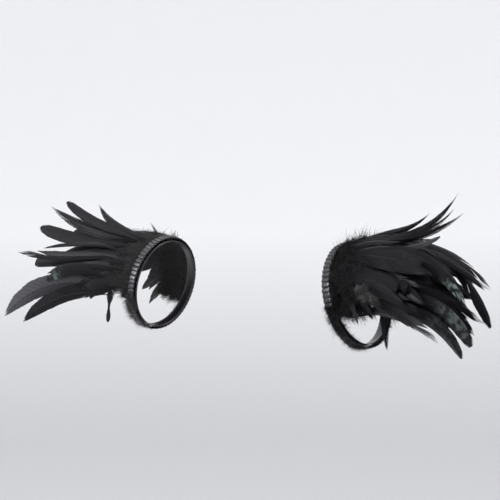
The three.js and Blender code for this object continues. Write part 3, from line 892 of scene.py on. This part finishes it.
def lay_plume(plumage, row, plume, number, salt):
    """Bends a flat plume along its line and adds it to a row."""
    along, across, off, fixed, tones, faces = PLUME_BLANKS[(plume["shape"], number % VARIANTS)]
    share, line, sideways, outward = hanging_frame(plume) if "top" in plume else plume_frame(row, plume)
    half = plume["wide"] / 2
    uneven = 1 + WIDTH_SPREAD * vary(number, salt + 9) * np.sign(across)
    x = across * half * uneven + fixed[:, 0]
    y = off * half + fixed[:, 1]
    place = along_line(along, share, line)
    side_way = along_line(along, share, sideways)
    out_way = along_line(along, share, outward)
    points = place + side_way * x[:, None] + out_way * y[:, None]
    tone = np.clip(tones + TONE_SPREAD * vary(number, salt + 10), 0, 1)
    # Painted green sheen: strong on some named plumes, faint at random on the rest, along a span of the
    # plume.
    sheen_strength = plume.get("green_sheen", max(0, STRAY_GREEN_SHEEN * vary(number, salt + 11)))
    begins, ends = plume.get("sheen_span", GREEN_SHEEN_SPAN)
    sheen_strength = sheen_strength * np.clip((along - begins) / GREEN_SHEEN_EDGE + 0.5, 0, 1)
    sheen_strength = sheen_strength * np.clip((ends - along) / GREEN_SHEEN_EDGE + 0.5, 0, 1)
    # Paleness: a plume's own grey, or else the painted light of its half.
    pale = plume.get("pale", PAINTED_LIGHT_PLUMES[row["side"]]) * np.clip(0.35 + 0.75 * along, 0, 1)
    if plume.get("striped"):
        stripes = np.sin(STRIPES * along - STRIPE_SLANT * np.abs(across))
        pale = pale * (1 - STRIPE_DEPTH + STRIPE_DEPTH * stripes)
    quill = np.arange(len(along)) >= len(along) - len(QUILL_POINTS)
    # Some quills are painted lighter grey at random: a painted highlight along the quill.
    pale = np.where(quill, max(0, QUILL_PAINTED_HIGHLIGHT * vary(number, salt + 12)), pale)
    plumage.add(points, faces, tone, sheen_strength, pale)


# Down.


def tuft_blank(variant):
    """A spray of fine barbs from one point, combed along +Y and up +Z."""
    draw = np.random.default_rng(50 + variant)
    reach, edge = BARB_REACH, BARB_EDGE
    pieces = []
    for barb in range(TUFT_BARBS):
        spread = draw.normal(0, 0.4)
        rise = draw.uniform(0.0, 0.75)
        length = draw.uniform(0.45, 1.1)
        curl = draw.normal(0, 0.45)
        droops = draw.uniform(-0.1, 0.45)
        ahead = np.array([math.sin(spread), math.cos(spread) * math.cos(rise), math.sin(rise)])
        sideways = np.array([math.cos(spread), -math.sin(spread), 0.0])
        line = length * reach[:, None] * ahead
        line = line + sideways * (curl * reach**2)[:, None] * length * 0.5
        line[:, 2] -= droops * length * reach**2 * 0.6
        line = line + np.array([draw.normal(0, 0.17), draw.uniform(-0.3, 0.3), 0.0])
        width = TUFT_BARB_HALF * (1 - BARB_TAPER * reach)
        tone = np.full(len(reach), np.clip(0.4 + 0.25 * draw.normal(), 0, 1))
        pieces.append((line + sideways * (edge * width)[:, None], tone, BARB_FACES + barb * len(reach)))
    return tuple(np.concatenate(column) for column in zip(*pieces))


TUFT_BLANKS = [tuft_blank(variant) for variant in range(TUFT_VARIANTS)]


class Fluff(Plumage):
    """Plumage of tufts, which take the kinds of tuft in turn."""

    def __init__(self, side):
        super().__init__()
        self.tufts = 0
        # The paleness of this half's down: painted light.
        self.pale_and_painted_light = PAINTED_LIGHT_DOWN[side]

    def lay_tuft(self, place, comb, normal, length, pale=None):
        """Sets a tuft on a surface, combed one way."""
        points, tones, faces = TUFT_BLANKS[self.tufts % TUFT_VARIANTS]
        comb = unit(comb)
        across = unit(np.cross(comb, normal))
        upright = np.cross(across, comb)
        laid = points[:, :1] * across + points[:, 1:2] * comb + points[:, 2:] * upright
        self.add(place + laid * length, faces, tones, 0.0, self.pale_and_painted_light if pale is None else pale)
        self.tufts += 1

    def lay_wisp(self, place, ahead, normal, length, bend):
        """One long fine barb that bends over toward its end."""
        reach, edge = BARB_REACH, BARB_EDGE
        ahead = unit(ahead)
        across = unit(np.cross(ahead, normal))
        line = place + length * reach[:, None] * ahead + length * bend * (reach**2)[:, None] * across
        line = line + across * (edge * WISP_HALF * (1 - BARB_TAPER * reach))[:, None]
        self.add(line, BARB_FACES, np.full(len(reach), 0.2))


def surface_frame(along, angle, height):
    """A place on the ruff with its outward axis and normal."""
    place = ring_point(along, angle, height)
    axis = ring_point(along + 1, angle, height) - place
    normal = ring_point(along, angle, height + 1) - place
    return place, unit(axis), unit(normal)


def arch_spot(side, along_share, turn_share):
    """A place on the arch of down, whose outer end and lower edges are uneven."""
    half_sweep = FRONT_SWEEP[side] if turn_share > 0 else WALL_HALF_SWEEP
    turn = half_sweep * turn_share
    wavy = 3.5 * math.sin(0.11 * turn + 1) + 2.5 * math.sin(0.29 * turn)
    reach = WALL_END - 6 - 10 * abs(turn_share) ** 3 + wavy
    along = WALL_START + (reach - WALL_START) * along_share
    lower = 20 * max(0.0, along_share - 0.25) ** 1.4 + 3 * math.sin(0.3 * along)
    return along, math.radians((half_sweep - max(0.0, lower) * min(1, along / 20)) * turn_share)


def down_arch(name, side, finish):
    """The matted down itself: a hollow arch, lumpy outside, open below where the arm hangs."""
    arch = new_grid(*ARCH_GRID)
    arch.name = name
    for vertex in arch.data.vertices:
        along, angle = arch_spot(side, (vertex.co.y + 1) / 2, vertex.co.x)
        off_binding = min(1, max(0, along - BINDING_WIDTH) / 8)
        lump = 0.9 * math.sin(9 * angle + 0.13 * along) * math.sin(0.21 * along + 4 * angle)
        height = wall_top(along, angle) + (0.5 * lump - ARCH_SUNK) * off_binding
        height -= CREST_LOWER[side] * above(angle) * off_binding
        vertex.co = Vector(in_row_frame(ring_point(along, angle, height), side))
    thicken(arch, ARCH_THICKNESS, side)
    layer = arch.data.attributes.new("barb_tone", "FLOAT", "POINT")
    layer.data.foreach_set("value", np.full(len(arch.data.vertices), ARCH_TONE, dtype=np.float32))
    arch.data.materials.append(finish)
    return arch


def down_tufts(name, side, finish):
    """Tufts all over the arch, outside, inside and along its lower edges, and the wisps that stand
    up near the binding."""
    draw = np.random.default_rng(7 if side > 0 else 8)
    fluff = Fluff(side)
    for share in np.arange(0.15, 1.01, 0.06):
        near_binding = math.exp(-(((share - 0.27) / 0.16) ** 2))
        for turn in np.arange(-1, 1.01, 0.04 + 0.02 * share):
            spot = share + draw.uniform(-0.03, 0.03), turn + draw.uniform(-0.02, 0.02)
            along, angle = arch_spot(side, *spot)
            height = wall_top(along, angle) - 1 - CREST_LOWER[side] * above(angle)
            place, axis, normal = surface_frame(along, angle, height)
            lean = draw.uniform(*OUTSIDE["lean"]) + STAND_UP * near_binding * above(angle) * draw.random()
            comb = axis + lean * normal + draw.normal(0, OUTSIDE["uneven"]) * np.cross(axis, normal)
            length = draw.uniform(*OUTSIDE["length"]) * (1 + 0.5 * near_binding * STAND_UP)
            length *= 1 - CREST_SHORTER[side] * above(angle) * max(0.0, 1 - share)
            fluff.lay_tuft(place, comb, normal, length)
    for share in np.arange(0.2, 1.01, 0.1):
        for turn in np.arange(-0.99, 1.0, 0.055):
            spot = share + draw.uniform(-0.04, 0.04), turn + draw.uniform(-0.02, 0.02)
            along, angle = arch_spot(side, *spot)
            place, axis, normal = surface_frame(along, angle, wall_top(along, angle) - 2.6)
            comb = axis - draw.uniform(*INSIDE["lean"]) * normal
            comb = comb + draw.normal(0, INSIDE["uneven"]) * np.cross(axis, normal)
            fluff.lay_tuft(place, comb, -normal, draw.uniform(*INSIDE["length"]))
    for share in np.arange(0.25, 1.0, 0.045):
        for hand in (-1, 1):
            along, angle = arch_spot(side, share, hand)
            place, axis, normal = surface_frame(along, angle, wall_top(along, angle) - 1.8)
            hang = axis + LOWER_EDGES["hang"] * np.array([0.0, 0.0, -1.0])
            hang = hang + draw.normal(0, LOWER_EDGES["uneven"]) * normal
            length = draw.uniform(*LOWER_EDGES["length"]) * (0.6 if hand < 0 else 1)
            fluff.lay_tuft(place, hang, normal, length)
    for count in range(WISP_COUNT[side]):
        along, angle = draw.uniform(14, 46), math.radians(draw.uniform(-40, 46))
        if side < 0 and count > 12:
            along, angle = draw.uniform(14, 20), math.radians(draw.uniform(-27, -17))
        place, axis, normal = surface_frame(along, angle, wall_top(along, angle))
        ahead = axis * draw.uniform(*WISPS["lean"]) + normal
        ahead = ahead + draw.normal(0, WISPS["uneven"]) * np.cross(axis, normal)
        length = draw.uniform(*WISPS["length"]) * (1 if side > 0 else 0.6)
        fluff.lay_wisp(place, ahead, normal, length, draw.normal(0, WISPS["bend"]))
    return fluff.mesh(name, side, finish)


def fluff_locks(name, side, row, finish):
    """Locks of long soft barbs over the foot of the plumes, nearest the binding. On the left they
    reach further, most of all in front, and on the right they are cut short."""
    draw = np.random.default_rng(17 if side > 0 else 18)
    fluff = Fluff(side)
    for lock in filling_plumes(row):
        angle = lock["angle"]
        facing = max(0.0, math.sin(angle))
        if side > 0:
            lock["along"] += 14 + 18 * facing
            lock["height"] = wall_top(lock["along"], angle) + row["lift"] - 5 * facing - 12 * above(angle)
        share, line, across, outward = plume_frame(row, lock)
        for at in (0.0, 0.08, 0.16, 0.25, 0.34, 0.43, 0.53, 0.63, 0.74, 0.85, 0.96):
            k = int(np.searchsorted(share, at))
            comb = unit(line[k + 1] - line[k]) + outward[k] * draw.uniform(*LOCKS["lean"])
            comb = comb + across[k] * draw.normal(0, LOCKS["uneven"])
            spot = line[k] + across[k] * draw.normal(0, 3)
            length = draw.uniform(*LOCKS["length"]) * (1.05 - 0.35 * at + 0.25 * facing)
            if side > 0:
                spot = spot + outward[k] * 2 * facing
            else:
                length *= 0.4 + 0.3 * at
                spot = spot - outward[k] * (4 * at + 3 * above(angle))
            fluff.lay_tuft(spot, comb, outward[k], length)
    for spot in PALE_FLUFF[side]:
        for _ in range(5):
            near = np.array(spot) + draw.normal(0, PALE_TUFTS["apart"], 3)
            comb = np.array([1.0, 0.15, draw.uniform(-0.9, 0.3)])
            length, pale = draw.uniform(*PALE_TUFTS["length"]), draw.uniform(*PALE_TUFTS["pale"])
            fluff.lay_tuft(near, comb, np.array([0.2, 1.0, 0.1]), length, pale)
    return fluff.mesh(name, side, finish)


def underarm_fluff(name, side, finish):
    """Short fluff that closes the ring below the arm, and hides the binding's lower front."""
    draw = np.random.default_rng(27 if side > 0 else 28)
    fluff = Fluff(side)
    for angle in np.arange(104, 243, 3.2):
        for along in (7.5, 11, 14):
            turn = math.radians(angle + draw.uniform(-2, 2))
            place, axis, normal = surface_frame(along, turn, 3.2)
            comb = axis + draw.uniform(*UNDERARM["lean"]) * normal
            comb = comb + draw.normal(0, UNDERARM["uneven"]) * np.cross(axis, normal)
            length = draw.uniform(*UNDERARM["length"]) * (0.5 if angle > 170 else 1)
            fluff.lay_tuft(place, comb, normal, length)
    for angle in np.arange(98, 172, 2.6):
        for along in (1, 6, 12):
            turn = math.radians(angle + draw.uniform(-1.5, 1.5))
            place, axis, normal = surface_frame(along, turn, 7)
            comb = 0.5 * axis + draw.uniform(*OVER_BINDING["lean"]) * normal
            comb = comb + draw.normal(0, OVER_BINDING["uneven"]) * np.cross(axis, normal)
            length = draw.uniform(*OVER_BINDING["length"]) * (1 if side > 0 else 0.45)
            length *= 0.6 if angle > 132 else 1
            fluff.lay_tuft(place, comb, normal, length)
    return fluff.mesh(name, side, finish)


# Binding.


def pleat_height(turn, along):
    """How far the gathered ply stands out at a share of the way round."""
    place = turn * GATHERS
    pleat = int(math.floor(place))
    share = place - pleat
    deep = PLEAT_DEPTH * (1 + 0.35 * vary(pleat % GATHERS, 1))
    edge = 0.16 + 0.05 * vary(pleat % GATHERS, 2)
    rise = share / (1 - edge) if share < 1 - edge else (1 - share) / edge
    across = 1 + 0.12 * math.sin(3 * along / BINDING_WIDTH + pleat)
    return deep * across * (2 * min(1, rise) ** 0.7 - 1)


def ribbon(name, side, start, underside, turns, widths, pleated, finish):
    """A ribbon sewn into a ring round the armhole, from start to the binding's outer edge."""
    band = new_grid(turns, widths)
    band.name = name
    flat = [(vertex.co.x, vertex.co.y) for vertex in band.data.vertices]
    layer = band.data.uv_layers.new(name="ribbon")
    half_long, half_wide = RIBBON_HALF_SIZE
    for loop in band.data.loops:
        x, y = flat[loop.vertex_index]
        layer.data[loop.index].uv = (x * half_long, y * half_wide)
    for vertex, (x, y) in zip(band.data.vertices, flat):
        turn = (x + 1) / 2
        along = start + (BINDING_WIDTH - start) * (y + 1) / 2
        height = underside + PLY + (pleat_height(turn % 1.0, along) if pleated else 0)
        if pleated:
            height -= 0.5 * max(0, abs(y) - 0.7) / 0.3
        vertex.co = Vector(in_row_frame(ring_point(along, 2 * math.pi * turn, height), side))
    with edit_mode():
        bpy.ops.mesh.remove_doubles(threshold=0.00001)
    thicken(band, FACE_THICKNESS if pleated else BACK_THICKNESS, side)
    band.data.materials.append(finish)
    return band


def seat(piece, node):
    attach(piece, "root")
    if node:
        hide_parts(node)


def dress_ruff(label, side, finishes):
    satin, down, glossy = finishes["satin"], finishes["down"], finishes["glossy"]
    face = ribbon(f"{label}_gathered_ribbon", side, 0, FACE_PLY_UNDERSIDE, 640, 6, True, satin)
    seat(face, f"{label}_binding_face")
    back = ribbon(f"{label}_flat_ribbon", side, -BACK_PLY_PROUD, 0, 180, 4, False, satin)
    seat(back, f"{label}_binding_back")

    seat(down_arch(f"{label}_down_base", side, down), f"{label}_down")
    seat(down_tufts(f"{label}_down_tufts", side, down), None)
    broad = named_plumes(BROAD_ROW, label)
    for plain_row in ROWS:
        row = {**plain_row, "side": side}
        named = named_plumes(row, label)
        node = f"{label}_{row['name']}"
        plumage = Plumage()
        if row["shape"] == "lock":
            seat(fluff_locks(f"{label}_soft_locks", side, row, down), node)
            for number, plume in enumerate(named):
                lay_plume(plumage, row, plume, number, 60 + side)
            seat(plumage.mesh(f"{label}_soft_locks_stray", side, glossy), node)
            continue
        wanted = named + [plume for plume in filling_plumes(row) if lies_clear(plume, broad)]
        for number, plume in enumerate(wanted):
            lay_plume(plumage, row, plume, number, salt_of(row))
        finish = finishes["matte"] if row["shape"] == "rounded" else glossy
        seat(plumage.mesh(f"{node}_feathers", side, finish), node)
    seat(underarm_fluff(f"{label}_underarm_fluff", side, down), f"{label}_underarm_locks")


add_camera()
add_studio()
FINISHES = {
    "satin": satin_finish(),
    "down": down_finish(),
    "glossy": plume_finish("glossy_plume", (0.0026, 0.0025, 0.003), (0.0175, 0.0168, 0.0196), 0.0, 0.38),
    "matte": plume_finish("matte_plume", (0.002, 0.002, 0.0024), (0.0132, 0.0128, 0.0148), 0.008, 0.6),
}
for half, half_side in SIDES.items():
    dress_ruff(half, half_side, FINISHES)
